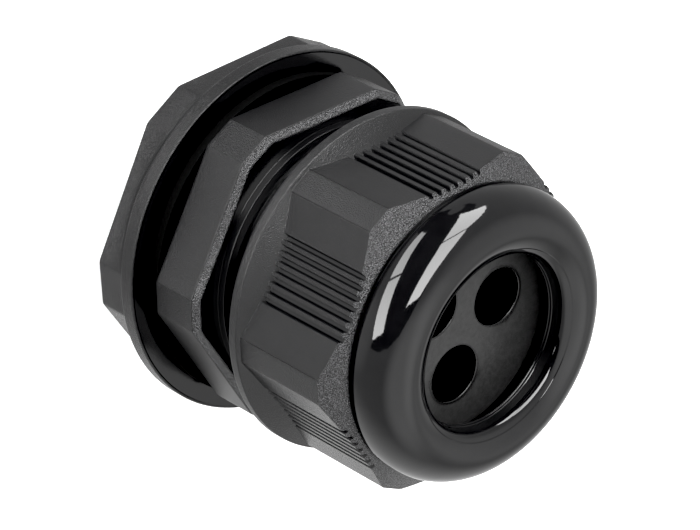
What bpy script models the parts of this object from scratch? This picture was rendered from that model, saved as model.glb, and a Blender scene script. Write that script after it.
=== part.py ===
"""Cable gland for three cables, PG21 size: body, gasket, locknut, cap nut, clamping cage and seal.

Frame: +Z is the gland's axis and points the way the cables leave. The origin is the centre of the
body's entry end, so the gland stands on its entry thread. All sizes below are in millimetres.

Every piece but the seal is a ring. It is drawn as one closed outline in the (radius, height) plane
at each of a set of angles round the axis, and the outlines are joined into a closed skin.
"""

import math

import bmesh
import bpy

MM = 0.001

# Clearances
SEAT_GAP = 0.25      # between faces that rest on each other
RUNNING_GAP = 0.3    # between round pieces that slide in each other
THREAD_GAP = 0.2     # radial, between a male and a female thread

# Entry thread, PG21: right-handed, 80 degree flanks
ENTRY_MAJOR = 14.15
ENTRY_PITCH = 1.5875
ENTRY_DEPTH = 0.76
ENTRY_FLANK = math.radians(40)
ENTRY_LENGTH = 11.0
ENTRY_WALL = 2.19    # from the thread's root to the bore
ENTRY_RELIEF = 0.8   # plain neck between the thread and the seat

# Cap thread: right-handed, metric-like
CAP_MAJOR = 14.7
CAP_PITCH = 1.5
CAP_DEPTH = 0.8
CAP_FLANK = math.radians(35)
CAP_THREAD_LENGTH = 8.9

# Body hexagon and the collar above it
HEX_APOTHEM = 16.5
HEX_CORNER = 18.0    # apothem of the flats that cut its six corners
HEX_HEIGHT = 6.1
HEX_CHAMFER = 0.63
COLLAR_RADIUS = 15.0
COLLAR_HEIGHT = 0.85
MOUTH_WALL = 1.3     # wall between the mouth's bore and the cap thread's root

# Gasket
GASKET_RADIUS = 17.6
GASKET_THICKNESS = 1.1

# Locknut
LOCKNUT_APOTHEM = 18.1
LOCKNUT_CORNER = 19.45
LOCKNUT_HEIGHT = 5.6
LOCKNUT_FLANGE = 19.85
LOCKNUT_BAND = 1.65  # height of the flange's round band
LOCKNUT_CONE = math.radians(41)
LOCKNUT_CLOCK = 1.8  # degrees that it is turned to at rest
LOCKNUT_EDGE = 0.3

# Cap nut, outside
CAP_LIFT = 4.64      # from the top of the body's collar to the nut's rim, half tightened
CAP_APOTHEM = 16.33
CAP_CORNER = 18.04
CAP_RIM = 18.44
CAP_BAND = 1.15      # height of the rim's round band
CAP_RIM_CONE = math.radians(55.5)
CAP_EDGE = 0.3
CAP_HEX_TOP = 14.4   # from the rim's underside to the top of the hexagon
CAP_TOP_CONE = math.radians(56.6)
CAP_CLOCK = 2.1
DOME_BASE = 15.6     # radius of the dome where the hexagon's top cone ends
DOME_GROOVE = 0.35
DOME_RADIUS = 15.7
DOME_CREST = 11.9    # radius of the dome's highest circle
DOME_HEIGHT = 5.65   # from the hexagon's top to that circle
DOME_SHOULDER = 1.0  # height of the dome's widest circle over the hexagon's top
DOME_STEPS = 7

# Cap nut, inside
LIP_RADIUS = 9.4
LIP_DROP = 1.2       # the mouth's edge lies this far under the dome's crest
LIP_OVER_SEAL = 2.69 # from the seal's face to the foot of the lip's wall
CONE_TOP_RADIUS = 9.75
CONE_ANGLE = math.radians(43)

# Clamping cage
CAGE_WALL = 1.4
CAGE_SKIRT = 4.7
CAGE_FLANGE = 1.3    # height of its flange
CAGE_FLANGE_STEP = 0.7
CAGE_FINGERS = 12
CAGE_FINGER_WALL = 1.5
CAGE_FINGER_HEIGHT = 3.8
CAGE_TIP_BEVEL = 0.8
CAGE_SLOT = 1.2
CAGE_SLOT_FLOOR = 0.5

# Seal
SEAL_HOLE = 3.0
SEAL_PITCH_RADIUS = 5.07
SEAL_HOLES = 3
SEAL_CLOCK = 77.7
SEAL_HEAD_STEP = 1.1
SEAL_HEAD_HEIGHT = 1.0
SEAL_TAIL = 0.3      # how far the seal stands out under the cage's skirt
SEAL_FACETS = 40

# How far the cap nut screws down before the cage's flange lands on the body's mouth
CAP_TURNS_DOWN = 2

COLUMN_STEP = 10     # degrees between the outlines of a round piece

# Heights and radii that follow
SEAT_Z = ENTRY_LENGTH
HEX_TOP = SEAT_Z + HEX_HEIGHT
COLLAR_TOP = HEX_TOP + COLLAR_HEIGHT
MOUTH_Z = COLLAR_TOP + 0.35 + CAP_THREAD_LENGTH
ENTRY_CORE = ENTRY_MAJOR - ENTRY_DEPTH
ENTRY_BORE = ENTRY_CORE - ENTRY_WALL
CAP_CORE = CAP_MAJOR - CAP_DEPTH
MOUTH_BORE = CAP_CORE - MOUTH_WALL
GASKET_TOP = SEAT_Z - SEAT_GAP
GASKET_BOTTOM = GASKET_TOP - GASKET_THICKNESS
LOCKNUT_TOP = GASKET_BOTTOM - SEAT_GAP
LOCKNUT_BOTTOM = LOCKNUT_TOP - LOCKNUT_HEIGHT
CAP_TRAVEL = CAP_TURNS_DOWN * CAP_PITCH
FLANGE_BOTTOM = MOUTH_Z + SEAT_GAP + CAP_TRAVEL
FLANGE_TOP = FLANGE_BOTTOM + CAGE_FLANGE
FINGER_TOP = FLANGE_TOP + CAGE_FINGER_HEIGHT
SKIRT_BOTTOM = FLANGE_BOTTOM - CAGE_SKIRT
SKIRT_RADIUS = MOUTH_BORE - RUNNING_GAP
CAGE_BORE = SKIRT_RADIUS - CAGE_WALL
SEAL_RADIUS = CAGE_BORE - RUNNING_GAP
SEAL_HEAD_RADIUS = SEAL_RADIUS + SEAL_HEAD_STEP
SEAL_BOTTOM = SKIRT_BOTTOM - SEAL_TAIL
SEAL_HEAD_Z = FINGER_TOP + SEAT_GAP
SEAL_TOP = SEAL_HEAD_Z + SEAL_HEAD_HEIGHT
CAP_BOTTOM = COLLAR_TOP + CAP_LIFT
CAP_SHOULDER = FLANGE_TOP + SEAT_GAP
CAP_THROAT = CAGE_BORE + CAGE_FINGER_WALL + 2 * RUNNING_GAP
CAP_TOP = CAP_BOTTOM + CAP_HEX_TOP + DOME_HEIGHT
LIP_Z = CAP_TOP - LIP_DROP
LIP_FLOOR = SEAL_TOP + LIP_OVER_SEAL


def wall_radius(angle, apothem, corner):
    """Radius of a hexagon whose corners are cut by a second hexagon, at an angle in degrees."""
    flat = math.radians((angle % 60) - 30)
    cut = math.radians(((angle + 30) % 60) - 30)
    return min(apothem / math.cos(flat), corner / math.cos(cut))


def corner_angles(apothem, corner):
    """Half the angle, in degrees, that each corner cut takes up."""
    half_width = (apothem / math.cos(math.radians(30)) - corner) * math.tan(math.radians(60))
    return math.degrees(math.atan2(half_width, corner))


def column_angles(special=()):
    """Even angles round the axis, with the special ones put in and their near neighbours left out."""
    special = sorted(angle % 360 for angle in special)
    kept = []
    for angle in range(0, 360, COLUMN_STEP):
        distances = [abs((angle - other + 180) % 360 - 180) for other in special]
        if not distances or min(distances) > COLUMN_STEP / 4:
            kept.append(float(angle))
    return sorted(kept + special)


def hexagon_columns(apothem, corner, clock=0.0):
    half = corner_angles(apothem, corner)
    edges = [60 * side + sign * half + clock for side in range(6) for sign in (-1, 1)]
    middles = [60 * side + 30 * half_turn + clock for side in range(6) for half_turn in (0, 1)]
    return column_angles(edges + middles)


def thread_rows(angle, pitch, flank_width, base, depth, low, high, crest_first):
    """The thread's outline at one angle, from low to high, as (radius, height) points.

    Each turn has a sharp edge, at the male thread's root, and two edges a crest apart. Towards both
    ends the depth fades out over one pitch, and rows past an end fall together on it.
    """
    first = math.floor(low / pitch) - 2
    last = math.ceil(high / pitch) + 1
    levels = (1.0, 0.0, 0.0) if crest_first else (0.0, 1.0, 1.0)
    offsets = (0.0, flank_width, pitch - flank_width)
    rows = []
    for turn in range(first, last + 1):
        for offset, level in zip(offsets, levels):
            height = pitch * (turn + angle / 360) + offset
            fade = min(1.0, max(0.0, min(height - low, high - height) / pitch))
            rows.append((base + depth * level * fade, min(max(height, low), high)))
    return rows


def male_thread(angle, major, pitch, depth, flank, low, high):
    return thread_rows(angle, pitch, depth * math.tan(flank), major - depth, depth, low, high, False)


def female_thread(angle, major, pitch, depth, flank, low, high):
    rows = thread_rows(
        angle, pitch, depth * math.tan(flank), major + THREAD_GAP, -depth, low, high, True
    )
    return rows[::-1]


def ring_piece(name, angles, outline, material):
    """Joins the closed outlines at all the angles into one skin, and makes it an object."""
    turn = angles + [angles[0] + 360]
    points = []
    for angle in turn:
        direction = math.radians(angle)
        for radius, height in outline(angle):
            points.append((
                radius * math.cos(direction) * MM,
                radius * math.sin(direction) * MM,
                height * MM,
            ))
    rows = len(points) // len(turn)
    faces = []
    for column in range(len(turn) - 1):
        here, there = column * rows, (column + 1) * rows
        for row in range(rows):
            following = (row + 1) % rows
            faces.append((here + row, there + row, there + following, here + following))
    mesh = bpy.data.meshes.new(name)
    mesh.from_pydata(points, [], faces)
    skin = bmesh.new()
    skin.from_mesh(mesh)
    bmesh.ops.remove_doubles(skin, verts=skin.verts, dist=0.001 * MM)
    bmesh.ops.dissolve_degenerate(skin, edges=skin.edges, dist=0.0005 * MM)
    bmesh.ops.triangulate(skin, faces=skin.faces)
    bmesh.ops.recalc_face_normals(skin, faces=skin.faces)
    skin.to_mesh(mesh)
    skin.free()
    return finished(name, mesh, material)


def finished(name, mesh, material):
    mesh.materials.append(material)
    mesh.shade_smooth()
    mesh.set_sharp_from_angle(angle=math.radians(25))
    piece = bpy.data.objects.new(name, mesh)
    bpy.context.scene.collection.objects.link(piece)
    return piece


def moulded(name, colour, roughness):
    material = bpy.data.materials.new(name)
    material.use_nodes = True
    shader = material.node_tree.nodes["Principled BSDF"]
    shader.inputs["Base Color"].default_value = (*colour, 1.0)
    shader.inputs["Roughness"].default_value = roughness
    shader.inputs["Metallic"].default_value = 0.0
    return material


def body_outline(angle):
    """Entry thread, hexagon, collar and cap thread outside; entry bore and wider mouth inside."""
    hexagon = wall_radius(angle, HEX_APOTHEM, HEX_CORNER)
    face = wall_radius(angle, HEX_APOTHEM - HEX_CHAMFER, HEX_CORNER - HEX_CHAMFER)
    thread_foot = COLLAR_TOP + 0.35
    mouth_floor = SKIRT_BOTTOM - SEAL_TAIL - CAP_TRAVEL - RUNNING_GAP
    step = MOUTH_BORE - ENTRY_BORE
    return (
        [(ENTRY_BORE, 0.0)]
        + [(ENTRY_CORE, 0.0)]
        + male_thread(
            angle, ENTRY_MAJOR, ENTRY_PITCH, ENTRY_DEPTH, ENTRY_FLANK, 0.0, SEAT_Z - ENTRY_RELIEF
        )
        + [
            (ENTRY_CORE, SEAT_Z),
            (hexagon, SEAT_Z),
            (hexagon, HEX_TOP - HEX_CHAMFER),
            (face, HEX_TOP),
            (COLLAR_RADIUS, HEX_TOP),
            (COLLAR_RADIUS, COLLAR_TOP),
            (CAP_CORE, thread_foot),
        ]
        + male_thread(angle, CAP_MAJOR, CAP_PITCH, CAP_DEPTH, CAP_FLANK, thread_foot, MOUTH_Z)
        + [
            (MOUTH_BORE, MOUTH_Z),
            (MOUTH_BORE, mouth_floor),
            (ENTRY_BORE, mouth_floor - step),
        ]
    )


def gasket_outline(angle):
    bore = ENTRY_MAJOR + RUNNING_GAP
    return [
        (bore, GASKET_BOTTOM),
        (GASKET_RADIUS, GASKET_BOTTOM),
        (GASKET_RADIUS, GASKET_TOP),
        (bore, GASKET_TOP),
    ]


def locknut_outline(angle):
    """A hexagon with a round flange on its upper face. The flange runs out on the flats in a cone."""
    wall = wall_radius(angle - LOCKNUT_CLOCK, LOCKNUT_APOTHEM, LOCKNUT_CORNER)
    band_foot = LOCKNUT_TOP - LOCKNUT_BAND
    cone_foot = band_foot - (LOCKNUT_FLANGE - wall) / math.tan(LOCKNUT_CONE)
    mouth = ENTRY_MAJOR + THREAD_GAP
    lead = LOCKNUT_EDGE
    return (
        [
            (mouth + lead, LOCKNUT_BOTTOM),
            (wall - LOCKNUT_EDGE, LOCKNUT_BOTTOM),
            (wall, LOCKNUT_BOTTOM + LOCKNUT_EDGE),
            (wall, cone_foot),
            (LOCKNUT_FLANGE, band_foot),
            (LOCKNUT_FLANGE, LOCKNUT_TOP - LOCKNUT_EDGE),
            (LOCKNUT_FLANGE - LOCKNUT_EDGE, LOCKNUT_TOP),
            (mouth + lead, LOCKNUT_TOP),
            (mouth, LOCKNUT_TOP - lead),
        ]
        + female_thread(
            angle,
            ENTRY_MAJOR,
            ENTRY_PITCH,
            ENTRY_DEPTH,
            ENTRY_FLANK,
            LOCKNUT_BOTTOM + lead,
            LOCKNUT_TOP - lead,
        )
    )


def dome_outline():
    """The dome over the hexagon: a groove, a quarter of an ellipse, and a slope down to the lip."""
    hexagon_top = CAP_BOTTOM + CAP_HEX_TOP
    shoulder = hexagon_top + DOME_SHOULDER
    width = DOME_RADIUS - DOME_CREST
    rise = CAP_TOP - shoulder
    points = [
        (DOME_BASE, hexagon_top - 0.05),
        (DOME_BASE - DOME_GROOVE, hexagon_top),
        (DOME_BASE - DOME_GROOVE, hexagon_top + 0.2),
        (DOME_BASE - 0.05, hexagon_top + 0.3),
    ]
    for step in range(DOME_STEPS + 1):
        turn = math.pi / 2 * step / DOME_STEPS
        points.append((DOME_CREST + width * math.cos(turn), shoulder + rise * math.sin(turn)))
    inner = DOME_CREST - LIP_RADIUS
    for share in (0.35, 0.7):
        points.append((DOME_CREST - inner * share, CAP_TOP - LIP_DROP * share**1.6))
    return points


DOME = dome_outline()


def cap_nut_outline(angle):
    """A hexagon between a round rim and a dome, with the thread, a shoulder and a cone inside."""
    wall = wall_radius(angle - CAP_CLOCK, CAP_APOTHEM, CAP_CORNER)
    band_top = CAP_BOTTOM + CAP_BAND
    cone_top = band_top + (CAP_RIM - wall) / math.tan(CAP_RIM_CONE)
    hexagon_top = CAP_BOTTOM + CAP_HEX_TOP
    flat_top = hexagon_top - 0.05 - (wall - DOME_BASE) / math.tan(CAP_TOP_CONE)
    mouth = CAP_MAJOR + THREAD_GAP
    thread_top = CAP_SHOULDER - 2.0
    cone_height = (CAP_THROAT - CONE_TOP_RADIUS) / math.tan(CONE_ANGLE)
    return (
        [
            (mouth + CAP_EDGE, CAP_BOTTOM),
            (CAP_RIM - CAP_EDGE, CAP_BOTTOM),
            (CAP_RIM, CAP_BOTTOM + CAP_EDGE),
            (CAP_RIM, band_top),
            (wall, cone_top),
            (wall, flat_top),
        ]
        + DOME
        + [
            (LIP_RADIUS, LIP_Z),
            (LIP_RADIUS, LIP_FLOOR),
            (CONE_TOP_RADIUS, LIP_FLOOR - 0.1),
            (CAP_THROAT, LIP_FLOOR - 0.1 - cone_height),
            (CAP_THROAT, CAP_SHOULDER),
            (mouth, CAP_SHOULDER),
        ]
        + female_thread(
            angle,
            CAP_MAJOR,
            CAP_PITCH,
            CAP_DEPTH,
            CAP_FLANK,
            CAP_BOTTOM + CAP_EDGE,
            thread_top,
        )
    )


def cage_outline(in_slot):
    """A skirt, a flange and a finger, or the floor of the slot between two fingers."""
    finger = CAGE_BORE + CAGE_FINGER_WALL
    floor = FLANGE_TOP + CAGE_SLOT_FLOOR
    top = floor if in_slot else FINGER_TOP
    bevel_foot = floor if in_slot else FINGER_TOP - CAGE_TIP_BEVEL
    tip = finger if in_slot else finger - CAGE_TIP_BEVEL
    return [
        (CAGE_BORE, SKIRT_BOTTOM),
        (SKIRT_RADIUS, SKIRT_BOTTOM),
        (SKIRT_RADIUS, FLANGE_BOTTOM),
        (SKIRT_RADIUS + CAGE_FLANGE_STEP, FLANGE_BOTTOM),
        (SKIRT_RADIUS + CAGE_FLANGE_STEP, FLANGE_TOP),
        (finger, FLANGE_TOP),
        (finger, floor),
        (finger, bevel_foot),
        (tip, top),
        (CAGE_BORE, top),
        (CAGE_BORE, floor),
    ]


def make_cage(material):
    """Each side of a slot is a pair of columns a hair apart, one at the finger and one at the slot."""
    half_slot = math.degrees(CAGE_SLOT / 2 / CAGE_BORE)
    hair = 0.05
    step = 360 / CAGE_FINGERS
    columns = {}
    for finger in range(CAGE_FINGERS):
        middle = finger * step
        for side in (-1, 1):
            columns[middle + side * (half_slot - hair)] = True
            columns[middle + side * (half_slot + hair)] = False
        for share in (-0.25, 0, 0.25):
            columns[middle + step * (0.5 + share)] = False
    angles = sorted(columns)
    outlines = {angle: cage_outline(columns[angle]) for angle in angles}

    def outline(angle):
        return outlines[angle] if angle in outlines else outlines[angles[0]]

    return ring_piece("clamping_cage", angles, outline, material)


def turned_solid(name, outline, facets):
    """A solid of revolution whose outline starts and ends on the axis."""
    mesh = bpy.data.meshes.new(name)
    solid = bmesh.new()
    points = [solid.verts.new((radius * MM, 0.0, height * MM)) for radius, height in outline]
    edges = [solid.edges.new(pair) for pair in zip(points, points[1:])]
    bmesh.ops.spin(
        solid,
        geom=points + edges,
        axis=(0, 0, 1),
        cent=(0, 0, 0),
        steps=facets,
        angle=2 * math.pi,
        use_merge=True,
    )
    bmesh.ops.remove_doubles(solid, verts=solid.verts, dist=0.001 * MM)
    bmesh.ops.recalc_face_normals(solid, faces=solid.faces)
    solid.to_mesh(mesh)
    solid.free()
    return mesh


def make_seal(material):
    """A rubber plug with a wider head, and a hole for each cable."""
    chamfer = 0.3
    outline = [
        (0.0, SEAL_BOTTOM),
        (SEAL_RADIUS, SEAL_BOTTOM),
        (SEAL_RADIUS, SEAL_HEAD_Z),
        (SEAL_HEAD_RADIUS, SEAL_HEAD_Z),
        (SEAL_HEAD_RADIUS, SEAL_TOP - chamfer),
        (SEAL_HEAD_RADIUS - chamfer, SEAL_TOP),
        (0.0, SEAL_TOP),
    ]
    seal = finished("seal", turned_solid("seal", outline, SEAL_FACETS), material)
    for hole in range(SEAL_HOLES):
        direction = math.radians(SEAL_CLOCK + hole * 360 / SEAL_HOLES)
        name = f"seal_hole_{hole + 1}"
        ends = [
            (0.0, SEAL_BOTTOM - 1.0),
            (SEAL_HOLE, SEAL_BOTTOM - 1.0),
            (SEAL_HOLE, SEAL_TOP + 1.0),
            (0.0, SEAL_TOP + 1.0),
        ]
        cutter = bpy.data.objects.new(name, turned_solid(name, ends, 24))
        bpy.context.scene.collection.objects.link(cutter)
        cutter.location = (
            SEAL_PITCH_RADIUS * math.cos(direction) * MM,
            SEAL_PITCH_RADIUS * math.sin(direction) * MM,
            0.0,
        )
        cutter.hide_render = True
        cutter.display_type = "WIRE"
        cut = seal.modifiers.new(name, "BOOLEAN")
        cut.operation = "DIFFERENCE"
        cut.solver = "EXACT"
        cut.object = cutter
    return seal


def main():
    for leftover in list(bpy.data.objects):
        bpy.data.objects.remove(leftover, do_unlink=True)

    black_nylon = moulded("moulded_nylon_black", (0.018, 0.018, 0.020), 0.5)
    black_rubber = moulded("nitrile_rubber_black", (0.014, 0.014, 0.014), 0.75)

    body = ring_piece(
        "body", hexagon_columns(HEX_APOTHEM, HEX_CORNER), body_outline, black_nylon
    )
    gasket = ring_piece("gasket", column_angles(), gasket_outline, black_rubber)
    locknut = ring_piece(
        "locknut",
        hexagon_columns(LOCKNUT_APOTHEM, LOCKNUT_CORNER, LOCKNUT_CLOCK),
        locknut_outline,
        black_nylon,
    )
    cap_nut = ring_piece(
        "cap_nut",
        hexagon_columns(CAP_APOTHEM, CAP_CORNER, CAP_CLOCK),
        cap_nut_outline,
        black_nylon,
    )
    cage = make_cage(black_nylon)
    seal = make_seal(black_rubber)

    for piece, carrier in ((gasket, body), (locknut, gasket), (cage, body), (seal, cage), (cap_nut, cage)):
        piece.parent = carrier


main()
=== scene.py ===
# %% [markdown]
# # A cable gland for three cables, in moulded nylon
# A cable gland holds cables where they pass through the wall of a box. This one has six pieces: a
# body with two threads, a locknut and a gasket for the wall, and a cap nut that presses a slotted
# cage on to a rubber seal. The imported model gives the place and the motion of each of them. Here
# every piece is made again as a finer surface, in the same place, and gets its finish.

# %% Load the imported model
import math

import bmesh
import bpy
import numpy as np
from mathutils import Matrix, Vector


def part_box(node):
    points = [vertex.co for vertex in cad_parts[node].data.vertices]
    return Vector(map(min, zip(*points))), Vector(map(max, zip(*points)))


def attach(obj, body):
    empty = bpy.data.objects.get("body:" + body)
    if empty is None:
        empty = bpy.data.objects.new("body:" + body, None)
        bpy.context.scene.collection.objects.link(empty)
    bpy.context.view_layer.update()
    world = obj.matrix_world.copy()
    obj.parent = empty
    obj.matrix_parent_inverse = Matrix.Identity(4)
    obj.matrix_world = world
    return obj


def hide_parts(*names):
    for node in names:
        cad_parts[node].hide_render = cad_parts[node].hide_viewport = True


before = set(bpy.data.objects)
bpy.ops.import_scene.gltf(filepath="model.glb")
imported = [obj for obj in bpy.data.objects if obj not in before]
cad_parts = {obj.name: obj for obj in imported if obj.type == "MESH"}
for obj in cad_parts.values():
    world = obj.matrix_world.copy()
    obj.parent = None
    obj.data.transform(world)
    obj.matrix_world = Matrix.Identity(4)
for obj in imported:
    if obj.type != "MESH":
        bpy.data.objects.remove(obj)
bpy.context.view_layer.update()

MM = 0.001

# %% [markdown]
# ## Where the pieces are
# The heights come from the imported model, so that the fine pieces and the plain ones can't drift
# apart. Each piece's lowest and highest point on the axis is read once, in millimetres.

# %% Heights along the axis
def span(node):
    low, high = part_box(node)
    return low[2] / MM, high[2] / MM


MOUTH_Z = span("body")[1]
GASKET_BOTTOM, GASKET_TOP = span("gasket")
LOCKNUT_BOTTOM, LOCKNUT_TOP = span("locknut")
CAP_BOTTOM, CAP_TOP = span("cap_nut")
SKIRT_BOTTOM, FINGER_TOP = span("clamping_cage")
SEAL_BOTTOM, SEAL_TOP = span("seal")
print(f"body to {MOUTH_Z:.2f}, cap nut {CAP_BOTTOM:.2f} to {CAP_TOP:.2f} mm")

# %% [markdown]
# ## Moulded plastic and its finishes
# All hard pieces are black glass-free polyamide 66, injection moulded. The mould decides how each
# face looks: spark erosion leaves a fine sandy grain, milling and stoning leave satin flats, and
# polished steel leaves gloss. One number on every point, called grain, says which: 0 is polished,
# and 1 is the coarsest sand. It also sets how much painted glint a face gets. The same material
# then serves every piece, and the locknut gets a darker copy of it as painted shade.

# %% Colours and nodes
MULTIPLY, MULTIPLY_ADD = {"operation": "MULTIPLY"}, {"operation": "MULTIPLY_ADD"}
COLOURS = {"data_type": "RGBA"}


def linear(code):
    """Linear colour of an sRGB hex code: each channel is undone by the sRGB curve."""
    value = np.array([int(code[k : k + 2], 16) for k in (1, 3, 5)]) / 255
    curve = np.where(value <= 0.04045, value / 12.92, ((value + 0.055) / 1.055) ** 2.4)
    return (*curve.tolist(), 1.0)


def add(tree, kind, settings=None, **inputs):
    """Adds a node, sets its properties, and sets or links its inputs: by name, or n0, n1 by place."""
    node = tree.nodes.new(kind)
    for key, value in (settings or {}).items():
        setattr(node, key, value)
    for key, value in inputs.items():
        by_place = key[0] == "n" and key[1:].isdigit()
        socket = node.inputs[int(key[1:]) if by_place else key.replace("_", " ")]
        if isinstance(value, bpy.types.NodeSocket):
            tree.links.new(value, socket)
        else:
            socket.default_value = value
    return node


def new_material(name):
    """A material with only an output and a shader."""
    material = bpy.data.materials.new(name)
    material.use_nodes = True
    tree = material.node_tree
    tree.nodes.clear()
    shader = add(tree, "ShaderNodeBsdfPrincipled")
    add(tree, "ShaderNodeOutputMaterial", Surface=shader.outputs[0])
    return material, tree, shader


# %% [markdown]
# The sand of a spark-eroded mould is about 0.1 mm across, and it is drawn at that size: fine grains
# with shallow pits between them. Where it is coarse, its crests catch the light one by one. These
# glints are painted into the colour as lighter specks on the crests, a painted highlight, and the
# surface is made a little glossier. A slower waviness of a few millimetres stands for the shrinkage
# of the moulding, and a faint mottle for the flow of the black pigment.

# %% Moulded nylon
SAND_SIZE, SAND_HEIGHT = 0.11 * MM, 0.11 * MM
PIT_SIZE, PIT_SHARE = 0.14 * MM, 0.5
WAVE_SIZE, WAVE_HEIGHT = 7 * MM, 0.15 * MM
MOTTLE_SIZE = 1.6 * MM
# The crests' lighter colour is a painted highlight: it stands for glints finer than the render resolves.
CREST_SIZE, CREST_FOOT, CREST_TOP, PAINTED_GLINT_COLOUR = 0.1 * MM, 0.46, 0.7, "#6e6e70"
PAINTED_GLINT_SHARE = 0.08  # of the crests' colour, for each unit of grain
COARSE_GLINT_START, COARSE_GLINT_SHARE = 0.8, 0.6  # from this grain on they gain more of it, up to this share
MATT_GRAIN = 0.3  # from this grain on a face has its full roughness
GLINT_START, GLINT_ROUGHNESS = 0.5, 0.2  # from here it falls again, to this at grain 1
NYLON_IOR = 1.51


def moulded_nylon(name, dark, light, rough, satin=0.09):
    """Black PA66: the grain number drives its bump, its roughness and its painted glints, a lighter colour
    on the crests.
    """
    material, tree, shader = new_material(name)
    place = add(tree, "ShaderNodeTexCoord").outputs["Object"]
    grain = add(tree, "ShaderNodeAttribute", {"attribute_name": "grain"}).outputs["Fac"]

    sand = add(tree, "ShaderNodeTexNoise", Vector=place, Scale=1 / SAND_SIZE, Detail=1.0, Roughness=0.5)
    pits = add(
        tree, "ShaderNodeTexVoronoi", {"feature": "F1"}, Vector=place, Scale=1 / PIT_SIZE, Randomness=1.0
    )
    pit_depth = pits.outputs["Distance"]
    pitted = add(tree, "ShaderNodeMath", MULTIPLY_ADD, n0=pit_depth, n1=PIT_SHARE, n2=sand.outputs[0])
    height = add(tree, "ShaderNodeMath", MULTIPLY, n0=pitted.outputs[0], n1=grain)
    sandy = add(tree, "ShaderNodeBump", Strength=1.0, Distance=SAND_HEIGHT, Height=height.outputs[0])

    wave = add(tree, "ShaderNodeTexNoise", Vector=place, Scale=1 / WAVE_SIZE, Detail=1.0)
    sunk = add(tree, "ShaderNodeMath", MULTIPLY, n0=wave.outputs[0], n1=grain)
    wavy = add(tree, "ShaderNodeBump", Strength=1.0, Distance=WAVE_HEIGHT, Height=sunk.outputs[0])
    tree.links.new(sandy.outputs[0], wavy.inputs["Normal"])

    mottle = add(tree, "ShaderNodeTexNoise", Vector=place, Scale=1 / MOTTLE_SIZE, Detail=4.0)
    black = add(
        tree, "ShaderNodeMix", COLOURS, Factor=mottle.outputs[0], n6=linear(dark), n7=linear(light)
    )
    # Painted glints: the colour is mixed towards a light grey on the crests, more on coarse grain.
    bumps = add(tree, "ShaderNodeTexNoise", Vector=place, Scale=1 / CREST_SIZE, Detail=1.0)
    crest = add(tree, "ShaderNodeMapRange", Value=bumps.outputs[0], n1=CREST_FOOT, n2=CREST_TOP)
    coarse_glint = add(tree, "ShaderNodeMapRange", Value=grain, n1=COARSE_GLINT_START, n2=1.0, n3=0.0, n4=COARSE_GLINT_SHARE)
    painted_glint_amount = add(tree, "ShaderNodeMath", MULTIPLY_ADD, n0=grain, n1=PAINTED_GLINT_SHARE, n2=coarse_glint.outputs[0])
    painted_glint_mask = add(tree, "ShaderNodeMath", MULTIPLY, n0=crest.outputs[0], n1=painted_glint_amount.outputs[0])
    colour_with_painted_light = add(
        tree,
        "ShaderNodeMix",
        COLOURS,
        Factor=painted_glint_mask.outputs[0],
        n6=black.outputs[2],
        n7=linear(PAINTED_GLINT_COLOUR),
    )

    matte = add(tree, "ShaderNodeMapRange", Value=grain, n1=0.0, n2=MATT_GRAIN, n3=satin, n4=rough)
    gain = rough - GLINT_ROUGHNESS
    glint = add(tree, "ShaderNodeMapRange", Value=grain, n1=GLINT_START, n2=1.0, n3=0.0, n4=gain)
    finish = add(
        tree, "ShaderNodeMath", {"operation": "SUBTRACT"}, n0=matte.outputs[0], n1=glint.outputs[0]
    )
    tree.links.new(colour_with_painted_light.outputs[2], shader.inputs["Base Color"])
    tree.links.new(finish.outputs[0], shader.inputs["Roughness"])
    tree.links.new(wavy.outputs[0], shader.inputs["Normal"])
    shader.inputs["IOR"].default_value = NYLON_IOR
    return material


# %% [markdown]
# The seal is nitrile rubber, pressed in a plain mould and dusted with talc. That makes it flat and
# slightly grey beside the nylon, with no clear reflections. The walls of its holes are smooth and
# painted near black: painted shade for the deep, narrow holes. So on rubber the same grain number is
# the amount of talc, and where it is 0 the colour is that painted shade. The gasket is made near black
# with a specular level far below that of solid rubber: painted shade for the narrow gap it sits in.

# %% Nitrile rubber
DUST_SIZE, SKIN_SIZE, SKIN_HEIGHT = 0.5 * MM, 0.22 * MM, 0.025 * MM
# The hole walls' near-black colour is painted shade.
PAINTED_HOLE_SHADE, BARE_ROUGHNESS = "#060606", 0.12
RUBBER_IOR = 1.52


def nitrile_rubber(name, dark, light, rough, specular=0.5):
    """Black rubber: smooth, and painted near black as painted shade, where the grain number is 0; dusted,
    rough and mottled at 1.
    """
    material, tree, shader = new_material(name)
    place = add(tree, "ShaderNodeTexCoord").outputs["Object"]
    dust = add(tree, "ShaderNodeTexNoise", Vector=place, Scale=1 / DUST_SIZE, Detail=5.0, Roughness=0.65)
    dusted = add(
        tree, "ShaderNodeMix", COLOURS, Factor=dust.outputs[0], n6=linear(dark), n7=linear(light)
    )
    talc_and_hole_shade = add(tree, "ShaderNodeAttribute", {"attribute_name": "grain"}).outputs["Fac"]
    colour_with_painted_light = add(
        tree, "ShaderNodeMix", COLOURS, Factor=talc_and_hole_shade, n6=linear(PAINTED_HOLE_SHADE), n7=dusted.outputs[2]
    )
    matte = add(tree, "ShaderNodeMapRange", Value=talc_and_hole_shade, n1=0.0, n2=1.0, n3=BARE_ROUGHNESS, n4=rough)
    skin = add(tree, "ShaderNodeTexNoise", Vector=place, Scale=1 / SKIN_SIZE, Detail=2.0)
    bump = add(tree, "ShaderNodeBump", Strength=1.0, Distance=SKIN_HEIGHT, Height=skin.outputs[0])
    tree.links.new(colour_with_painted_light.outputs[2], shader.inputs["Base Color"])
    tree.links.new(bump.outputs[0], shader.inputs["Normal"])
    tree.links.new(matte.outputs[0], shader.inputs["Roughness"])
    shader.inputs["IOR"].default_value = RUBBER_IOR
    shader.inputs["Specular IOR Level"].default_value = specular
    return material


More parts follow.
